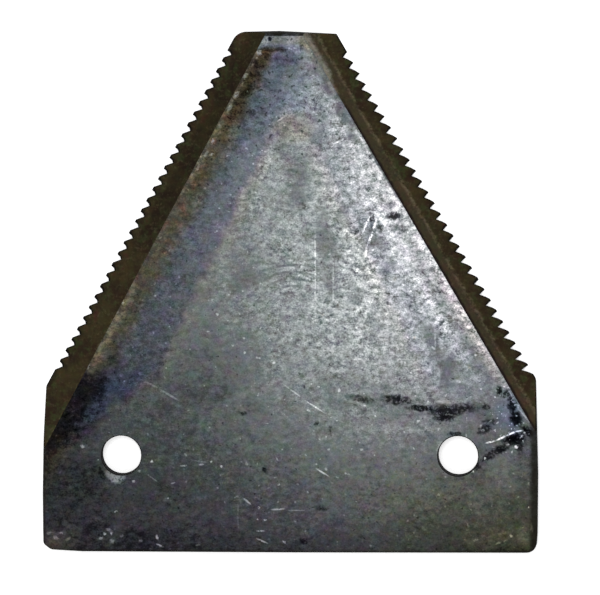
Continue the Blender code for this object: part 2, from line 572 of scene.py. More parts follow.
def makeBlade():
    levels = [(0.0, 0.0, "shearedWall")]
    steps = bladeForm["rollSteps"]
    for step in range(steps + 1):
        turn = math.pi / 2 * step / steps
        inset = bladeForm["rollWidth"] * (1 - math.cos(turn))
        height = bladeForm["thickness"] - bladeForm["rollDepth"] * (1 - math.sin(turn))
        levels.append((inset, height, "scaledFace"))
    rings = [[(p.x, p.y, height) for p in bladeOutline(inset)] for inset, height, slot in levels]
    bm = bmesh.new()
    walls = [slotNumber[slot] for inset, height, slot in levels[:-1]]
    loft(bm, rings, walls, (slotNumber["underside"], slotNumber["scaledFace"]))
    for flank in flanks.values():
        grindFlank(bm, flank)
    blade = newObject("groundBlade", bm, list(materials.values()))
    chance = random.Random(bladeForm["seed"])
    cutters = [grooveCutter(flank, chance, word + "Grooves") for word, flank in flanks.items()]
    cutters += [
        holeCutter(centreX, radius, word + "Hole") for word, centreX, radius in bladeForm["holes"]
    ]
    for cutter in cutters:
        cutAway(blade, cutter)
    settleModifiers(blade)
    for cutter in cutters:
        bpy.data.objects.remove(cutter, do_unlink=True)
    blade.data.transform(Matrix.Scale(metresPerMm, 4))
    blade.data.shade_smooth()
    blade.data.set_sharp_from_angle(angle=math.radians(bladeForm["sharpAngle"]))
    weighting = blade.modifiers.new("flatFacesFirst", "WEIGHTED_NORMAL")
    weighting.mode = "FACE_AREA"
    weighting.weight = bladeForm["flatWeight"]
    weighting.keep_sharp = True
    settleModifiers(blade)
    return blade


# Steel: what every material here starts from

def startMaterial(name):
    material = bpy.data.materials.new(name)
    material.use_nodes = True
    material.node_tree.nodes.clear()
    return material, Shade(material.node_tree)


def placeInMm(shade):
    place = shade.node("ShaderNodeTexCoord", None, None, out=3)
    place = shade.node(
        "ShaderNodeVectorMath", {"operation": "SCALE"}, {0: place, "Scale": 1 / metresPerMm}
    )
    apart = shade.node("ShaderNodeSeparateXYZ", None, (place,))
    outputs = apart.socket.node.outputs
    return place, *(Field(shade, outputs[i]) for i in range(3))


def inwardFrom(flank, line, x, y):  # mm inward, square to a line seen from above
    reach, lean = flank["reach"], flank["lean"]
    if line == "ridge":
        reach, lean = flank["ridgeReach"], flank["ridgeLean"]
    return (reach - lean * y - flank["sign"] * x) * math.cos(math.atan(lean))


def colorGrain(shade, place, scale, offset, detail=3.0):
    moved = shade.shift(place, (offset, -offset * 1.3, 0.0))
    return shade.node(
        "ShaderNodeTexNoise",
        {"noise_dimensions": "3D"},
        {"Vector": moved, "Scale": scale, "Detail": detail, "Roughness": 0.6},
        out=1,
    )


def near(shade, value, middle, width):  # 1 where the value passes the middle, 0 a width away
    return shade.ease(abs(value - middle), width, 0.0)


def grain(shade, place, scale, offset, detail=2.0, roughness=0.55):  # about 0, mostly within 1
    moved = shade.shift(place, (offset, offset * 1.7, 0.0))
    return (shade.noise(moved, scale, detail, roughness) - 0.5) * 5.0


def drifting(shade, place, scale, reach):  # the same place, moved about by a soft noise
    wander = shade.node(
        "ShaderNodeTexNoise",
        {"noise_dimensions": "3D"},
        {"Vector": place, "Scale": scale, "Detail": 2.0},
        out=1,
    )
    wander = shade.shift(wander, (-0.5, -0.5, -0.5))
    return shade.shift(place, shade.stretch(wander, (reach, reach, 0.0)))


# the dull black of the painted shade on the rolled edges
rollShadeBlack = tone(25, 23, 17)


def finishSteel(shade, color, roughness, metallic, height, depth, gloss=0.5, scale=None):
    normal = shade.node(
        "ShaderNodeBump", None, {"Strength": 1.0, "Distance": depth * metresPerMm, "Height": height}
    )
    surface = shade.node(
        "ShaderNodeBsdfPrincipled",
        None,
        {
            "Base Color": color,
            "Roughness": roughness,
            "Metallic": metallic,
            "Specular IOR Level": gloss,
            "Normal": normal,
        },
    )
    if scale is not None:  # how much of the surface a dull black coat hides, as painted shade on the rolled edges
        settings = {"Base Color": rollShadeBlack, "Roughness": 0.8, "Specular IOR Level": 0.1}
        black = shade.node("ShaderNodeBsdfPrincipled", None, {**settings, "Normal": normal})
        surface = shade.node("ShaderNodeMixShader", None, (scale, surface, black))
    shade.node("ShaderNodeOutputMaterial", None, {"Surface": surface})


faceFinish = {
    # Greys of the bare plate, from the darkest scale to bright worn steel and painted glare
    "greys": (
        (0.00, tone(10, 11, 13)),
        (0.12, tone(30, 31, 33)),
        (0.25, tone(62, 65, 66)),
        (0.40, tone(100, 103, 105)),
        (0.55, tone(138, 142, 144)),
        (0.75, tone(189, 191, 194)),
        (1.00, tone(252, 252, 252)),
    ),
    "straw": (1.14, 1.02, 0.79, 1.0),  # temper colours, as what they do to the grey
    "umber": (1.20, 1.0, 0.78, 1.0),
    "violet": (1.04, 0.94, 1.08, 1.0),
    "pink": (1.08, 0.96, 0.98, 1.0),
    "blue": (0.92, 0.98, 1.07, 1.0),
    "navy": (0.84, 0.92, 1.30, 1.0),
    "green": (0.95, 1.04, 0.96, 1.0),
    "olive": (1.06, 1.04, 0.82, 1.0),
    "rust": (1.45, 0.95, 0.62, 1.0),
    "dull": 0.185,  # brightness of the scale at the lower left
    "grit": 0.062,  # grain on dull scale
    "glareGrit": 0.27,  # and how much more where painted glare makes the face bright
    "pits": 0.38,
    "flecks": 0.17,
    "arcs": (0.9, 19.4, 1.08, 0.26),  # middle, spacing (mm) and darkness of the faint arcs
    "tipBand": 0.40,
    "markSoftness": 0.85,
    "roughness": 0.47,
    "bump": 0.006,  # mm
}

# The upturned V that the hardening left: a rounded top, straight legs, and feet that turn out
heatForm = {
    "middle": 0.45,
    "top": 56.1,
    "rounding": 4.84,
    "legLean": 0.47,
    "legScale": 0.905,
    "footX": 21.2,
    "footY": 11.0,
    "footSlope": (0.597, 0.80),
    "blend": 1.5,
}

# Scratches and rubbed specks on the upper face, in pixels of the picture: ends, width, brightness
scratches = (
    ((484, 443.5), (497, 440.5), 1.2, 0.60),
    ((495, 441), (507, 435.5), 1.3, 0.70),
    ((505, 436.3), (517, 431), 1.3, 0.75),
    ((514, 431.8), (524, 430.3), 1.1, 0.60),
    ((371, 214), (361.5, 235), 1.3, 0.42),
    ((377, 217), (373, 231), 1.4, 0.44),
    ((374, 229), (366.5, 248), 1.6, 0.55),
    ((367, 246), (365, 259), 1.4, 0.52),
    ((343, 227), (357, 241), 1.4, 0.13),
    ((355, 239), (365, 251), 1.4, 0.16),
    ((281, 382.5), (305, 400), 1.0, 0.16),
    ((302, 398.5), (327, 414.5), 1.1, 0.28),
    ((314.5, 467.5), (330.5, 477.5), 1.2, 0.36),
    ((143, 380.5), (160, 389), 1.5, 0.12),
    ((158, 388), (181, 402), 1.5, 0.16),
    ((332, 145), (347, 137), 1.2, 0.24),
    ((336, 143), (328, 150), 1.0, 0.16),
    ((276, 122), (284, 117), 1.1, 0.20),
    ((190, 460), (211, 463), 1.0, 0.10),
    ((179, 466), (188, 465.4), 1.3, 0.30),
    ((198, 465), (205, 464), 1.2, 0.26),
    ((145, 473), (163, 485.5), 0.9, 0.13),
    ((170, 483.8), (176.5, 482.3), 1.1, 0.20),
    ((242, 497), (253, 506), 1.3, 0.26),
    ((269, 509.8), (287, 508.8), 1.3, 0.27),
    ((285, 510.3), (309, 510.6), 0.9, 0.14),
    ((255, 531), (266, 531), 1.2, 0.30),
    ((254.5, 537.6), (269.5, 544.2), 1.2, 0.32),
    ((155, 543.5), (164.5, 547.3), 1.3, 0.32),
    ((275.5, 456), (278.5, 462), 1.0, 0.18),
    ((315, 300), (315.3, 330), 0.9, 0.10),
    ((315, 222), (315.4, 306), 1.2, 0.21),
    ((333, 246), (333.4, 318), 1.1, 0.14),
    ((435, 327), (435.3, 351), 1.1, 0.15),
    ((423, 402.6), (472, 401.2), 2.4, 0.07),
    ((238, 496), (238.2, 540), 1.0, 0.06),
    ((507, 387), (521, 413), 1.2, 0.20),
    ((519, 409), (531, 424), 1.2, 0.20),
)

specks = (
    # column, row, half width, half height, turn, brightness
    (485, 458.3, 2.3, 1.5, 0, 0.62),
    (473, 471, 1.9, 1.8, 0, 0.45),
    (516, 447, 2.4, 1.8, 0, 0.62),
    (508, 444.6, 1.9, 1.3, 0, 0.36),
    (512, 452, 1.3, 1.6, 0, 0.28),
    (528, 508, 1.7, 1.1, 0, 0.34),
    (152, 461.6, 1.8, 1.8, 0, 0.40),
    (211, 461.6, 1.8, 1.6, 0, 0.34),
    (221.6, 466.5, 1.7, 1.5, 0, 0.34),
    (82.5, 446.5, 3.0, 1.7, -35, 0.24),
    (139, 471, 2.2, 2.2, 0, 0.22),
    (133.5, 481.6, 2.0, 1.4, 0, 0.26),
    (168.3, 498, 1.5, 1.6, 0, 0.24),
    (116, 511.6, 2.0, 1.3, 0, 0.32),
    (105, 534, 2.3, 1.8, 0, 0.38),
    (111.5, 533.5, 2.0, 2.0, 0, 0.36),
    (112, 541, 3.2, 3.2, 0, 0.22),
    (157.3, 537.5, 1.9, 3.0, 15, 0.36),
    (259, 507.4, 1.8, 1.4, 0, 0.32),
    (258, 519.5, 1.7, 1.2, 0, 0.32),
    (265.3, 520.2, 2.0, 1.4, 0, 0.34),
    (284, 542, 1.7, 2.2, 20, 0.30),
    (279, 484.5, 1.5, 1.5, 0, 0.26),
    (357, 270.5, 2.4, 2.2, 0, 0.26),
    (112.0, 476.0, 10.0, 6.0, -38, 0.22),
    (118.0, 478.5, 10.0, 6.0, 20, 0.27),
    (504.5, 412, 4.0, 12.0, 5, 0.04),
    (49, 533, 3.4, 2.2, 20, 0.17),
    (56, 538, 4.2, 2.0, -30, 0.16),
    (61, 533, 2.6, 1.8, 0, 0.20),
    (68, 539, 3.4, 1.8, 30, 0.15),
    (101, 538, 3.6, 2.0, 20, 0.24),
    (109, 530, 4.0, 2.0, -20, 0.20),
    (122, 536, 3.0, 1.8, 0, 0.16),
    (141, 541, 2.4, 1.8, 0, 0.18),
    (198, 545, 3.0, 1.6, 0, 0.14),
    (532, 528, 1.8, 6.0, 8, 0.20),
    (511, 536, 2.4, 1.6, 0, 0.26),
    (498, 543, 3.4, 1.6, 20, 0.20),
    (476, 540, 2.6, 1.6, 0, 0.18),
    (265.5, 43, 3.0, 5.0, -29, 0.10),
    (259.5, 53.0, 3.4, 3.4, -29, 0.30),
    (257.0, 58.0, 1.6, 1.6, 0, 0.14),
    (252.5, 65, 2.0, 3.0, -29, 0.10),
    (245.5, 76, 2.6, 5.0, -29, 0.15),
    (242.0, 84, 1.6, 3.0, -29, 0.10),
    (236.5, 95, 3.2, 6.0, -29, 0.19),
    (229.5, 108, 2.6, 6.0, -29, 0.16),
    (219.5, 127, 2.4, 5.0, -29, 0.11),
    (250.0, 58.5, 1.8, 1.8, 0, 0.12),
    (247, 92, 2.0, 1.6, 0, 0.20),
    (212, 154, 2.6, 1.8, 20, 0.22),
    (212.5, 141.5, 2.2, 4.0, -29, 0.20),
    (206, 154, 1.8, 5.0, -29, 0.13),
    (198, 168, 1.6, 5.0, -29, 0.13),
    (123, 303, 1.6, 2.6, -29, 0.16),
    (117, 313, 1.6, 3.0, -29, 0.14),
    (88.5, 367, 1.8, 4.0, -29, 0.14),
    (98, 459.6, 1.5, 1.2, 0, 0.24),
    (497, 391, 2.0, 1.4, 0, 0.20),
)

smears = (
    # column, row, half width, half height, turn, how dark
    (361, 399.0, 22.0, 4.4, -10, 0.58),
    (397, 400.0, 22.0, 7.0, -8, 0.74),
    (421, 408.5, 21.0, 4.8, -4, 0.82),
    (447, 410.5, 27.0, 9.0, 0, 0.74),
    (444, 416.5, 16.0, 7.5, 0, 0.80),
    (464, 408.0, 19.0, 7.0, 0, 0.62),
    (486, 407.0, 6.0, 4.4, 0, 0.60),
    (485, 429.0, 12.0, 6.4, 32, 0.70),
    (490, 421.5, 11.0, 4.0, 10, 0.50),
    (499.5, 392.0, 4.0, 8.0, 10, 0.85),
    (506.5, 394.0, 5.5, 6.0, -20, 0.78),
    (512.5, 405.0, 6.5, 12.0, 12, 0.85),
    (516.5, 418.5, 8.5, 13.0, 25, 0.94),
    (527.0, 431.5, 10.0, 7.0, -30, 0.94),
    (514, 439.5, 15.0, 8.0, 12, 0.98),
    (521, 447.0, 8.0, 5.5, 30, 0.66),
    (500.0, 449.5, 12.0, 6.5, 22, 0.80),
    (488.0, 457.0, 13.0, 4.8, 28, 0.74),
    (477.0, 466.5, 6.5, 4.4, 40, 0.66),
    (101.5, 473, 4.0, 9.5, 18, 0.60),
    (455, 434.0, 10.0, 3.0, 0, 0.66),
    (264, 469, 3.0, 3.6, 0, 0.62),
    (316.6, 422.8, 3.0, 3.2, 0, 0.62),
    (330.2, 430, 3.0, 6.5, 0, 0.52),
    (303, 541.3, 6.0, 4.2, 0, 0.56),
    (321.5, 508.5, 9.0, 4.2, 0, 0.48),
    (243, 413, 5.4, 3.2, 0, 0.52),
    (394.5, 216.0, 11.0, 5.4, 8, 0.80),
    (372, 218, 4.2, 9.0, 15, 0.72),
    (380, 228, 4.0, 8.0, 10, 0.62),
    (400, 229, 13.0, 4.0, -12, 0.45),
    (270, 38.5, 4.2, 3.4, 20, 0.95),
    (252, 112, 5.4, 3.6, 0, 0.45),
)

clouds = (
    # column, row, half width, half height, turn, how much darker (less than 0: lighter)
    (297, 185, 13.0, 38.0, -10, 0.17),
    (323, 235, 12.0, 34.0, 0, 0.16),
    (307, 232, 12.0, 12.0, 0, 0.10),
    (262, 277, 40.0, 12.0, 12, 0.10),
    (371, 240, 14.0, 20.0, 0, 0.14),
    (430, 342, 13.0, 26.0, 20, 0.18),
    (449, 371, 13.0, 18.0, 20, 0.22),
    (445, 384, 11.0, 10.0, 0, 0.14),
    (250, 408, 26.0, 16.0, 0, 0.10),
    (205, 292, 12.0, 14.0, 0, 0.10),
    (243, 331, 9.0, 9.0, 0, 0.15),
    (284, 138, 12.0, 8.0, 0, 0.12),
    (356, 138, 8.0, 9.0, 0, 0.16),
    (455, 334, 7.0, 7.0, 0, 0.12),
    (465, 366, 7.0, 12.0, 28, 0.10),
    (381, 244, 11.0, 12.0, 0, 0.15),
    (390, 268, 11.0, 8.0, 0, 0.14),
    (417, 245, 14.0, 14.0, 30, -0.08),
    (480, 414, 28.0, 11.0, 0, 0.14),
    (287, 151, 8.0, 12.0, 0, 0.24),
    (303, 160, 22.0, 26.0, 0, 0.12),
    (341, 184, 9.0, 10.0, 0, 0.15),
    (342, 219, 9.0, 15.0, 0, 0.16),
    (350, 392, 60.0, 22.0, 0, 0.10),
    (225, 360, 60.0, 46.0, 20, 0.09),
    (180, 400, 40.0, 22.0, 20, 0.08),
    (288, 62, 17.0, 15.0, 0, 0.22),
    (258, 130, 20.0, 26.0, 20, 0.07),
    (313, 128, 20.0, 24.0, 0, 0.14),
    (384, 225, 20.0, 46.0, 28, -0.14),
    (385, 195, 14.0, 14.0, 0, -0.06),
    (408, 262, 16.0, 30.0, 30, -0.06),
    (372, 288, 14.0, 24.0, 20, -0.14),
    (334, 95, 8.0, 52.0, 29, 0.26),
    (352, 130, 7.0, 40.0, 29, 0.18),
    (288, 128, 16.0, 15.0, 0, 0.16),
    (336, 124, 8.0, 22.0, 29, 0.05),
    (358, 292, 8.0, 14.0, 0, 0.16),
    (318, 186, 14.0, 12.0, 0, 0.12),
    (330, 147, 24.0, 30.0, 24, 0.14),
    (328, 262, 15.0, 46.0, 0, 0.15),
    (250, 272, 26.0, 32.0, 0, 0.09),
    (402, 418, 42.0, 16.0, 0, 0.06),
    (385, 402, 40.0, 9.0, -5, 0.10),
    (213, 392, 24.0, 20.0, 0, 0.13),
    (332, 285, 14.0, 16.0, 0, 0.10),
    (110, 357, 8.0, 18.0, -29, 0.22),
    (100, 385, 10.0, 14.0, -29, 0.16),
    (304, 190, 10.0, 22.0, 0, 0.10),
    (370, 325, 16.0, 16.0, 0, 0.07),
    (395, 428, 50.0, 11.0, 0, -0.12),
    (134, 538, 24.0, 12.0, 0, 0.22),
    (80, 548, 38.0, 7.0, 0, -0.45),
    (75, 478, 40.0, 30.0, 0, 0.12),
    (76, 436, 36.0, 14.0, 30, 0.24),
    (441, 458, 7.0, 23.0, 8, -0.34),
    (446, 479, 20.0, 9.0, 0, 0.06),
    (505, 470, 26.0, 28.0, 0, -0.20),
    (500, 505, 50.0, 36.0, 0, -0.16),
    (497, 540, 44.0, 14.0, 0, -0.34),
    (527, 538, 12.0, 16.0, 0, -0.50),
    (94, 538, 13.0, 10.0, 0, -0.16),
    (415, 521, 36.0, 14.0, 0, 0.12),
    (62, 536, 26.0, 18.0, 0, -0.46),
    (50, 541, 14.0, 14.0, 0, -0.40),
    (112, 534, 26.0, 14.0, 0, -0.20),
)


def placed(shade, place, entry, soft):
    column, row, halfWidth, halfHeight, turn, amount = entry
    size = (halfWidth / photoView["pixelsPerMm"], halfHeight / photoView["pixelsPerMm"])
    return shade.spot(place, onFace(column, row), size, turn, soft) * amount


def strongest(shade, fields):
    total = None
    for field in fields:
        total = field if total is None else shade.larger(total, field)
    return total


def scratchLine(shade, place, start, end, width, bright):
    (x0, y0), (x1, y1) = onFace(*start), onFace(*end)
    halfLength = math.hypot(x1 - x0, y1 - y0) / 2
    turn = math.degrees(math.atan2(y1 - y0, x1 - x0))
    middle = ((x0 + x1) / 2, (y0 + y1) / 2)
    halfWidth = width / photoView["pixelsPerMm"]
    return shade.spot(place, middle, (halfLength, halfWidth), turn, 0.9) * bright


def heatRun(shade, x, y):  # mm inside the V
    aside = x - heatForm["middle"]
    reach = (aside * aside + heatForm["rounding"]) ** 0.5
    leg = ((heatForm["top"] - y) * heatForm["legLean"] - reach) * heatForm["legScale"]
    slopeX, slopeY = heatForm["footSlope"]
    foot = (heatForm["footX"] - abs(x)) * slopeX - (y - heatForm["footY"]) * slopeY
    settings = {"operation": "SMOOTH_MAX"}
    return shade.node("ShaderNodeMath", settings, (leg, foot, heatForm["blend"]))


def makeScaledFace():
    material, shade = startMaterial("scaledFace")
    ease = shade.ease
    place, x, y, z = placeInMm(shade)
    left = inwardFrom(flanks["left"], "ridge", x, y)
    right = inwardFrom(flanks["right"], "ridge", x, y)
    onLeft = ease(x, 1.5, -1.5)
    bloom = grain(shade, place, 0.11, 3.0)
    mottle = grain(shade, place, 0.45, 17.0, 3.0)
    speckle = grain(shade, shade.stretch(place, (0.85, 1.15, 1.0)), 1.15, 40.0, 4.0, 0.80)
    dust = grain(shade, place, 4.2, 71.0, 1.0)
    tintA = grain(shade, place, 0.85, 90.0, 2.0)
    tintB = grain(shade, place, 0.62, 120.0, 2.0)
    tintC = grain(shade, place, 1.05, 135.0, 2.0)

    # The broad run of brightness: dull scale at the lower left, and painted glare, a soft light's
    # reflection that brightens the upper right and the band by the right ridge
    # painted glare: brighter to the right and towards the tip
    across = ease(x, -24.0, 14.0)
    along = ease(y, -16.0, 26.0)
    shine = faceFinish["dull"] + 0.14 * along + across * (0.08 + 0.19 * along)
    # painted glare along the right ridge, which also carries pink and straw tints further down
    paleOnRight = ease(right, 9.0, 0.5) * ease(y, 8.0, 26.0) * ease(y, 60.0, 42.0)
    shine = shine + 0.05 * paleOnRight
    ragged = right + mottle * 0.45
    streaks = 0.10 * near(shade, ragged, 2.1, 1.2) - 0.06 * near(shade, ragged, 3.9, 1.0)
    streaks = streaks + 0.06 * near(shade, ragged, 6.4, 1.8) - 0.05 * near(shade, ragged, 0.5, 0.6)
    shine = shine - streaks * ease(y, 44.0, 36.0) * ease(y, 8.0, 16.0)
    shine = shine - 0.08 * ease(x, 16.0, 36.0) * ease(y, 24.0, 6.0)
    shine = shine - 0.12 * ease(y, 47.0, 59.0) - 0.05 * ease(y, -9.0, -15.0)
    shine = shine - 0.035 * ease(x, -24.0, -32.0) * ease(y, 2.0, -2.0)

    # Heat bands
    heat = heatRun(shade, x, y) + bloom * 0.35 + mottle * 0.40
    strength = 0.35 + 0.65 * ease(x, 9.0, -4.0)
    outside = ease(heat, 0.6, -0.8) * strength
    tanLine = near(shade, heat, 0.9, 1.7) * strength * ease(y, 8.0, 16.0)
    pinkLine = near(shade, heat, -0.2, 1.1) * strength
    strawBand = ease(left + mottle * 0.5 + 0.9 * ease(y, 50.0, 58.0), 4.4, 1.5) * onLeft
    strawBand = strawBand * ease(y, 62.6, 61.9)
    tipBrown = near(shade, left + mottle * 0.25, 1.40, 1.7) * onLeft * ease(y, 38.0, 43.0)
    tipBrown = tipBrown * ease(y, 62.6, 62.0) * (0.25 + 0.75 * ease(y, 48.0, 57.0))
    shoulder = ease(y, 15.0, 10.0) * ease(heat, 0.2, -2.6)
    shoulderLeft = shoulder * onLeft
    nearRidge = ease(left + mottle * 1.2 + speckle * 0.5, 6.5, 1.0)
    shine = shine * (1.0 - 0.15 * outside * onLeft)
    shine = shine * (1.0 - 0.16 * strawBand) * (1.0 - 0.46 * tipBrown)
    dusky = near(shade, left, 3.4, 3.6) * onLeft * ease(y, 36.0, 42.0) * ease(y, 58.0, 52.0)
    shine = shine * (1.0 - 0.13 * dusky)
    shine = shine + 0.012 * tanLine
    shine = shine * (1.0 - shoulderLeft * (0.06 + 0.52 * nearRidge))
    arcX, arcY, arcSpacing, arcDark = faceFinish["arcs"]
    ringed = ((x - arcX) * (x - arcX) + (y - arcY) * (y - arcY)) ** 0.5 + mottle * 0.08
    arcs = ease(ringed.maths("SINE", ringed * (math.tau / arcSpacing)), 0.1, 0.9)
    arcs = arcs * shade.spot(place, (0.9, 27.3), (5.2, 4.4), 0.0, 0.8)
    arcs = arcs * ease(mottle + speckle * 0.3, -0.9, 0.5)
    shine = shine * (1.0 - arcDark * arcs)

    # Broad clouds and the torn dark smears
    drifted = drifting(shade, place, 0.25, 5.0)
    for entry in clouds:
        shine = shine * (1.0 - placed(shade, drifted, entry, 1.0))
    torn = drifting(shade, place, 1.3, 1.1)
    dark = strongest(shade, (placed(shade, torn, entry, 1.0) for entry in smears))
    gaps = grain(shade, place, 2.3, 33.0, 2.0, 0.6)
    dark = dark * (0.24 + 0.76 * ease(gaps + speckle * 0.6 + dark * 1.1, -0.1, 0.9))
    shine = shine * (1.0 - dark)

    # The tip: a lighter band at the very end, a dark line under it
    arched = y + mottle * 0.15 + 0.7 * ease(abs(x + 0.6), 2.2, 4.4)
    tipBand = ease(arched, 62.7, 63.4) * ease(y, 64.5, 64.2) * ease(abs(x), 5.2, 4.4) * (1.0 - dark)
    tipLine = near(shade, y + mottle * 0.2, 62.3, 0.6) * ease(abs(x + 1.9), 2.3, 1.3)
    tipShine = faceFinish["tipBand"] + 0.03 * mottle + 0.04 * ease(x, -2.0, 3.0)
    shine = shine + (tipShine - shine) * tipBand * 0.9
    shine = shine * (1.0 - 0.42 * tipLine)

    # Grain: strong where painted glare makes the face bright, faint on the dull scale
    atTip = ease(y, 42.0, 52.0)
    grit = faceFinish["grit"] + 0.018 * atTip + 0.014 * outside * onLeft
    grit = grit + faceFinish["glareGrit"] * ease(shine, 0.33, 0.70)
    pitted = ease(grain(shade, place, 0.33, 7.0), -0.7, 0.9)
    shine = shine + grit * (speckle * (0.8 + 0.6 * pitted) + dust * 0.36 + mottle * 0.12)
    pits = ease(grain(shade, place, 1.45, 9.0, 1.0) + 0.30 * atTip, 1.0, 1.35)
    flecks = ease(grain(shade, place, 1.35, 31.0, 1.0), 1.0, 1.4)
    shine = shine * (1.0 - faceFinish["pits"] * pits)
    shine = shine + faceFinish["flecks"] * flecks * (0.4 + ease(shine, 0.12, 0.5))
    flakes = shade.spot(place, onFace(508, 425), (5.5, 7.0), 0.0, 0.9)
    shine = shine + 0.42 * ease(gaps, -0.75, -1.15) * flakes

    # Ridges rubbed bright, a painted shadow along the right ridge, and single scratches
    wornLeft = near(shade, left + mottle * 0.10, 0.60, 1.15) * ease(y, 34.0, 20.0)
    patchy = ease(mottle + bloom * 0.6, -0.1, 0.9) * (0.55 + 0.45 * ease(y, 48.0, 54.0))
    wornLeft = shade.larger(wornLeft, near(shade, left + mottle * 0.05, 0.22, 0.50) * patchy)
    wornLeft = wornLeft * ease(y, 12.2, 13.2) * ease(speckle + mottle * 0.5, -1.4, 0.5)
    wornRight = near(shade, right, 0.2, 0.45) * ease(y, 62.0, 54.0) * ease(y, 6.0, 9.0)
    tipRight = near(shade, right + mottle * 0.15, 0.35, 1.1) * ease(y, 54.0, 58.0)
    wornLeft = wornLeft * ease(y, 62.6, 61.6)
    wornPatch = 0.03 + 0.05 * ease(y, 30.0, 26.0) + 0.07 * ease(mottle + bloom * 0.5, -0.2, 0.9)
    wornPatch = wornPatch + 0.13 * ease(speckle + mottle, 0.2, 1.4) * ease(y, 34.0, 42.0)
    shine = shine + wornPatch * wornLeft + (0.04 + 0.05 * speckle) * wornRight
    # painted shadow: a dark line along the right ridge from y 36 on, fainter at the tip
    ridgeShadow = near(shade, right, 0.0, 0.34) * ease(y, 36.0, 42.0) * (1.0 - atTip * 0.7)
    shine = shine * (1.0 - 0.55 * ridgeShadow)
    frayed = drifting(shade, place, 2.4, 0.55)
    softness = faceFinish["markSoftness"]
    marks = shade.larger(
        strongest(shade, (scratchLine(shade, place, *entry) for entry in scratches)),
        strongest(shade, (placed(shade, frayed, entry, softness) for entry in specks)),
    )
    marks = marks * ease(dust + speckle, -1.7, 0.0)
    shine = shine + marks
    unworn = 1.0 - shade.larger(0.6 * ease(marks, 0.04, 0.2), 0.2 * wornLeft * ease(y, 30.0, 22.0))
    strawBand, tipBrown = strawBand * unworn, tipBrown * unworn

    # The die's rolled edges and the tip's end get painted shade, a dull black coat where they curve
    # away from the light
    halfWidth = bladeForm["halfWidth"]
    rolledEdgeShade = 0.92 * ease(halfWidth - x + mottle * 0.12, 1.50, 0.70) * ease(y, 12.0, 9.0)
    rolledEdgeShade = shade.larger(rolledEdgeShade, 0.62 * ease(halfWidth + x + mottle * 0.08, 0.70, 0.25))
    rolledEdgeShade = shade.larger(rolledEdgeShade, 0.72 * ease(y + 15.0 + mottle * 0.06, 0.62, 0.16))
    rolledEdgeShade = shade.larger(rolledEdgeShade, 1.0 * ease(y + mottle * 0.06, 64.25, 64.45))
    rolledEdgeShade = rolledEdgeShade * (0.86 + 0.14 * ease(speckle, 0.6, -0.6))

    color = shade.node("ShaderNodeValToRGB", {"stops": faceFinish["greys"]}, (shine,))
    lower = ease(y, -3.0, -11.0)
    tinted = 0.85 - 0.65 * ease(shine, 0.30, 0.60)
    tints = (
        ("blue", outside * (1.0 - strawBand)),
        ("violet", outside * ease(tintB, -0.6, 0.9) * ease(y, 50.0, 24.0) * 0.7),
        ("violet", ease(y, 58.0, 60.5) * ease(abs(x + 0.6), 3.0, 1.5) * 0.5),
        ("blue", ease(y, 44.0, 52.0) * (1.0 - strawBand) * ease(x, 4.5, 0.5) * 0.7),
        ("straw", tipRight * 0.6),
        ("pink", pinkLine),
        ("olive", tanLine * ease(y, 52.0, 38.0) * 0.45),
        ("straw", strawBand),
        ("umber", strawBand * ease(tintA, -0.9, 1.0) * (0.8 - 0.5 * ease(y, 50.0, 56.0))),
        ("umber", tipBrown),
        ("rust", tipBrown * ease(tintA, -0.8, 0.8) * 0.2),
        ("umber", tipLine),
        ("olive", wornLeft * ease(y, 30.0, 22.0) * 0.9),
        ("rust", strawBand * ease(tintB, 0.1, 1.0) * ease(y, 20.0, 28.0) * 0.4),
        ("straw", near(shade, right, 0.7, 1.7) * ease(y, 9.0, 12.0) * ease(y, 28.0, 16.0) * 0.3),
        ("pink", near(shade, right, 0.7, 1.7) * ease(y, 9.0, 12.0) * ease(y, 34.0, 22.0) * 0.4),
        ("straw", tipBand * 0.75),
        ("navy", shoulderLeft * ease(abs(x), 38.0, 33.0)),
        ("navy", shade.spot(place, onFace(510, 414), (2.4, 4.6), 10.0, 0.9) * 0.55),
        ("straw", shade.spot(place, onFace(292, 127), (4.2, 3.0), 0.0, 1.0) * 0.8),
        ("pink", paleOnRight * ease(tintB, -0.5, 0.9) * ease(right, 5.0, 1.0) * 0.35),
        ("straw", paleOnRight * 0.16),
        ("green", ease(heat, 0.0, 2.5) * ease(y, -8.0, 0.0) * ease(x, 20.0, 6.0) * 0.35),
        ("violet", lower * ease(x, 16.0, 2.0) * 0.7),
        ("olive", ease(y, 1.5, -8.5) * ease(x, 5.0, 27.0)),
        ("straw", ease(y, -8.0, -13.0) * ease(x, 24.0, 33.0) * 0.75),
        ("straw", ease(y, -10.0, -14.5) * ease(x, -30.0, -36.0)),
        ("green", ease(tintA, 0.1, 1.1) * tinted),
        ("violet", ease(tintB, 0.1, 1.2) * tinted),
        ("olive", ease(tintC, 0.2, 1.2) * tinted * ease(y, 8.0, -4.0)),
        ("umber", ease(tintC, -0.3, -1.3) * tinted * ease(y, 4.0, -8.0) * 0.7),
        ("rust", ease(tintA - tintB, 1.3, 2.2) * ease(y, 40.0, 10.0) * 0.3),
    )
    for word, amount in tints:
        color = shade.mix(amount, color, faceFinish[word], "MULTIPLY")
    speckled = colorGrain(shade, place, 0.55, 150.0)
    color = shade.mix(0.40 - 0.33 * ease(shine, 0.25, 0.60), color, speckled, "SOFT_LIGHT")

    roughness = faceFinish["roughness"] - 0.12 * shine + 0.04 * mottle
    height = speckle * 0.6 + dust * 0.4 - 1.5 * pits
    finishSteel(shade, color, roughness, 1.0, height, faceFinish["bump"], scale=rolledEdgeShade)
    return material


undersideFinish = {
    "shine": 0.27,
    "pits": 0.4,
    "roughness": 0.48,
    "bump": 0.007,  # mm
}


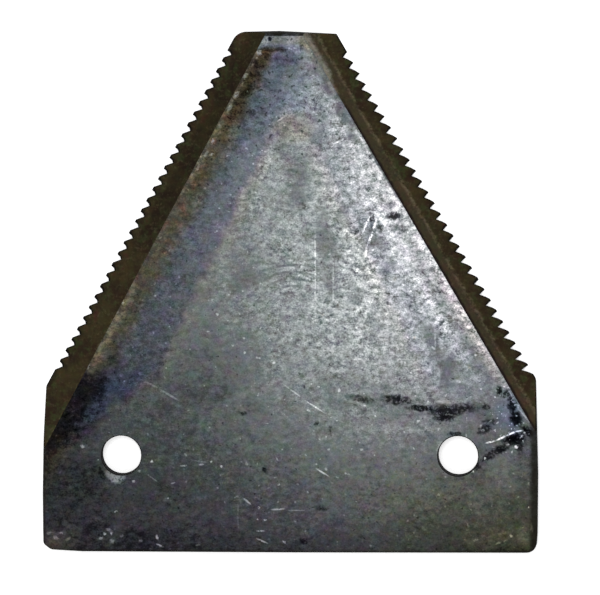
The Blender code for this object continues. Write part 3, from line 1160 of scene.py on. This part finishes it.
def makeUnderside():  # not in the photo: the same scale, duller, and without the painted glare and the rubbed patches
    material, shade = startMaterial("underside")
    ease = shade.ease
    place, x, y, z = placeInMm(shade)
    mottle = grain(shade, place, 0.40, 200.0, 3.0)
    bloom = grain(shade, place, 0.10, 210.0)
    speckle = grain(shade, place, 2.0, 230.0, 3.0, 0.7)
    pits = ease(grain(shade, place, 1.4, 250.0, 1.0), 1.0, 1.4)
    heat = heatRun(shade, x, y) + bloom * 0.4 + mottle * 0.2
    outside = ease(heat, 0.6, -0.8)
    drag = grain(shade, shade.stretch(place, (0.25, 2.5, 1.0)), 1.2, 260.0, 2.0)
    shine = undersideFinish["shine"] + 0.05 * bloom + 0.03 * mottle + 0.035 * speckle + 0.02 * drag
    shine = shine * (1.0 - 0.16 * outside) * (1.0 - undersideFinish["pits"] * pits)
    color = shade.node("ShaderNodeValToRGB", {"stops": faceFinish["greys"]}, (shine,))
    tints = (
        ("blue", outside),
        ("pink", near(shade, heat, -0.2, 1.0)),
        ("straw", near(shade, heat, 1.0, 1.8) * 0.7),
        ("green", ease(mottle, 0.2, 1.2) * 0.7),
        ("violet", ease(bloom, 0.2, 1.2) * 0.7),
        ("rust", ease(mottle - bloom, 1.1, 2.2) * 0.4),
    )
    for word, amount in tints:
        color = shade.mix(amount, color, faceFinish[word], "MULTIPLY")
    height = speckle * 0.6 + mottle * 0.3 - 1.5 * pits
    roughness = undersideFinish["roughness"] + 0.05 * mottle
    finishSteel(shade, color, roughness, 1.0, height, undersideFinish["bump"])
    return material


bevelFinish = {
    # Tones of the ground flanks: their own umber and olive tint, darkened by painted shade for the
    # dark surroundings that sloped steel reflects
    "umber": tone(43, 34, 24),
    "olive": tone(53, 48, 30),
    "moss": tone(50, 54, 32),
    "redBrown": tone(60, 38, 30),
    # pale tan, for the painted highlight along the right bevel and for the light grit
    "streak": tone(92, 84, 66),
    "inner": tone(58, 53, 41),
    "sienna": tone(66, 50, 41),
    "paleOnRight": tone(124, 121, 112),
    # tone of the painted shadow along the right ridge
    "ridgeShadowTone": tone(24, 17, 20),
    "black": tone(13, 11, 8),
    "facetHighlightLine": (2.60, 0.46),  # painted highlight: mm in from the edge, and half its width
    "roughness": 0.50,
    "bump": 0.005,  # mm
}


def makeGroundBevel():
    material, shade = startMaterial("groundBevel")
    ease = shade.ease
    place, x, y, z = placeInMm(shade)
    left, right = flanks["left"], flanks["right"]
    toEdge = shade.smaller(inwardFrom(left, "flank", x, y), inwardFrom(right, "flank", x, y))
    toRidge = shade.smaller(inwardFrom(left, "ridge", x, y), inwardFrom(right, "ridge", x, y))
    onRight = ease(x, -1.0, 1.0)
    bloom = grain(shade, place, 0.22, 5.0)
    mottle = grain(shade, place, 0.75, 12.0, 3.0)
    grit = grain(shade, place, 2.6, 50.0, 3.0, 0.7)
    drawn = grain(shade, shade.stretch(place, (0.35, 1.3, 1.0)), 1.2, 60.0, 3.0)

    # these dark base tones carry that painted shade as well as the tint
    base = ease(bloom + mottle * 0.7 + drawn * 0.4, -1.0, 1.0)
    color = shade.mix(base, bevelFinish["umber"], bevelFinish["olive"])
    moss = ease(mottle - bloom * 0.6, 0.1, 1.0)
    color = shade.mix(moss * 0.85, color, bevelFinish["moss"])
    red = ease(mottle * 0.8 + bloom * 0.7, 0.35, 1.2) * ease(toEdge, 3.2, 1.2)
    color = shade.mix(red * 0.85, color, bevelFinish["redBrown"])
    inner = onRight * ease(toEdge + mottle * 0.16, 2.35, 2.75)
    color = shade.mix(inner * 0.65, color, bevelFinish["inner"])
    warm = ease(bloom * 1.2 - mottle * 0.4, -0.2, 0.9) * inner * ease(y, 50.0, 44.0)
    color = shade.mix(warm * 0.7, color, bevelFinish["sienna"])
    # painted highlight along the middle of the right bevel, where its two grind facets meet
    streak = near(shade, toEdge + mottle * 0.18, *bevelFinish["facetHighlightLine"]) * onRight
    streak = streak * ease(bloom * 0.5 + mottle * 0.6 + grit * 0.8, -0.7, 1.1)
    color = shade.mix(streak * 0.85, color, bevelFinish["streak"])
    pale = (1.0 - onRight) * near(shade, toRidge, 0.0, 0.40) * ease(grit + mottle, 0.0, 1.2)
    color = shade.mix(pale * 0.45, color, bevelFinish["streak"])
    shaded = (1.0 - onRight) * ease(toEdge, 1.0, 2.2) * ease(y, 26.0, 38.0)
    color = shade.mix(shaded * 0.40, color, bevelFinish["black"])
    # painted shadow: a dark line on the bevel along the right ridge, fading out near the tip
    foot = near(shade, toRidge + mottle * 0.10 + grit * 0.05, -0.20, 0.40)
    foot = foot * onRight * ease(y, 57.0, 52.0)
    color = shade.mix(foot * 0.95, color, bevelFinish["ridgeShadowTone"])
    flatter = toRidge + 0.90 * ease(y, 53.5, 60.5) + mottle * 0.12  # the flat runs on, near the tip
    # a paler tone on the right bevel near the tip
    tipPale = ease(flatter + grit * 0.10, -0.25, 0.55) * ease(y, 53.5, 57.5) * onRight
    tipPale = tipPale * (0.68 + 0.24 * grit + 0.20 * mottle)
    color = shade.mix(tipPale, color, bevelFinish["paleOnRight"])
    color = shade.mix(ease(grit + drawn * 0.5, 0.1, 1.5) * 0.30, color, bevelFinish["streak"])
    color = shade.mix(ease(grit - drawn * 0.4, -0.1, -1.5) * 0.45, color, bevelFinish["black"])
    color = shade.mix(0.35, color, colorGrain(shade, place, 0.7, 170.0), "SOFT_LIGHT")

    # Painted shade along the outline: black at the thin toothed edge, a softer darkening about a mm
    # into the teeth, and black along the outer sides below y 12
    inside = shade.smaller(insideTeeth(shade, left, x, y), insideTeeth(shade, right, x, y))
    edge = shade.larger(ease(inside + grit * 0.03, 0.30, 0.15), 0.28 * ease(inside, 0.95, 0.30))
    outer = ease(bladeForm["halfWidth"] - abs(x) + grit * 0.05, 0.5, 0.2) * ease(y, 13.0, 11.0)
    edge = shade.larger(edge, outer)
    color = shade.mix(edge * 0.92, color, bevelFinish["black"])

    roughness = bevelFinish["roughness"] + 0.05 * mottle
    height = grit * 0.4 + mottle * 0.4 + streak
    finishSteel(shade, color, roughness, 0.9, height, bevelFinish["bump"])
    return material


def insideTeeth(shade, flank, x, y):  # about how many mm inside the toothed outline, along x
    rows = (flank["firstRoot"] - y) * (1 / flank["pitch"])
    within = rows.maths("FRACT", rows)  # 0 at a root, and on towards the base
    stops = []
    for across, below in flank["profile"]:
        stops.append((max(0.0, across) if across > -0.05 else 1 + across, below))
    stops = [(share, (below, below, below, 1.0)) for share, below in sorted(stops)] + [
        (1.0, (0.0, 0.0, 0.0, 1.0))
    ]
    outward = shade.node("ShaderNodeValToRGB", {"stops": stops}, (within,))
    outward = shade.node("ShaderNodeSeparateColor", None, (outward,))
    toFlank = flank["reach"] - flank["lean"] * y - flank["sign"] * x
    lastRoot = flank["firstRoot"] - grooveForm["teeth"] * flank["pitch"] + 0.9
    toothed = shade.ease(y, lastRoot, lastRoot + 0.2) * shade.ease(y, 62.2, 62.0)
    return toFlank - flank["depth"] * (1.0 - outward) * toothed


grooveFinish = {
    "shine": 0.20,
    "darker": 0.10,  # towards the bevel
    "roughness": 0.42,
    "bump": 0.006,  # mm
}


def makeGrooveCut():
    material, shade = startMaterial("grooveCut")
    ease = shade.ease
    place, x, y, z = placeInMm(shade)
    lines = grain(shade, shade.stretch(place, (0.25, 4.0, 4.0)), 3.0, 300.0, 3.0)
    mottle = grain(shade, place, 0.8, 310.0, 3.0)
    shine = grooveFinish["shine"] + 0.03 * lines + 0.04 * mottle
    shine = shine - grooveFinish["darker"] * ease(z, 0.02, 0.45)
    color = shade.node("ShaderNodeValToRGB", {"stops": faceFinish["greys"]}, (shine,))
    color = shade.mix(0.9, color, faceFinish["umber"], "MULTIPLY")
    roughness = grooveFinish["roughness"] + 0.05 * lines
    finishSteel(shade, color, roughness, 0.9, lines, grooveFinish["bump"])
    return material


wallFinish = {
    "burnished": (1.05, 1.25),  # mm up, from where the punch slid past and no longer tore
    "shine": 0.05,
    "roughness": 0.72,
    "bump": 0.02,  # mm
}


def makeShearedWall():
    material, shade = startMaterial("shearedWall")
    ease = shade.ease
    place, x, y, z = placeInMm(shade)
    drag = grain(shade, shade.stretch(place, (4.0, 4.0, 0.5)), 1.4, 400.0, 3.0)
    torn = grain(shade, place, 4.0, 410.0, 4.0, 0.7)
    wander = grain(shade, shade.stretch(place, (1.0, 1.0, 0.0)), 0.5, 420.0) * 0.15
    burnished = ease(z + wander, *wallFinish["burnished"])
    shine = wallFinish["shine"] + burnished * (0.03 + 0.015 * drag)
    shine = shine + (1.0 - burnished) * 0.015 * torn
    color = shade.node("ShaderNodeValToRGB", {"stops": faceFinish["greys"]}, (shine,))
    color = shade.mix(0.9, color, faceFinish["umber"], "MULTIPLY")
    height = burnished * drag * 0.5 + (1.0 - burnished) * torn * 1.6
    roughness = wallFinish["roughness"] - 0.15 * burnished
    finishSteel(shade, color, roughness, 0.0, height, wallFinish["bump"], gloss=0.05)
    return material


materials = {
    "scaledFace": makeScaledFace(),
    "groundBevel": makeGroundBevel(),
    "grooveCut": makeGrooveCut(),
    "shearedWall": makeShearedWall(),
    "underside": makeUnderside(),
}
slotNumber = {name: number for number, name in enumerate(materials)}
print("steel finishes made")

groundBlade = makeBlade()
print("blade cut:", len(groundBlade.data.polygons), "faces")

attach(groundBlade, "root")
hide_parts("knife_section")
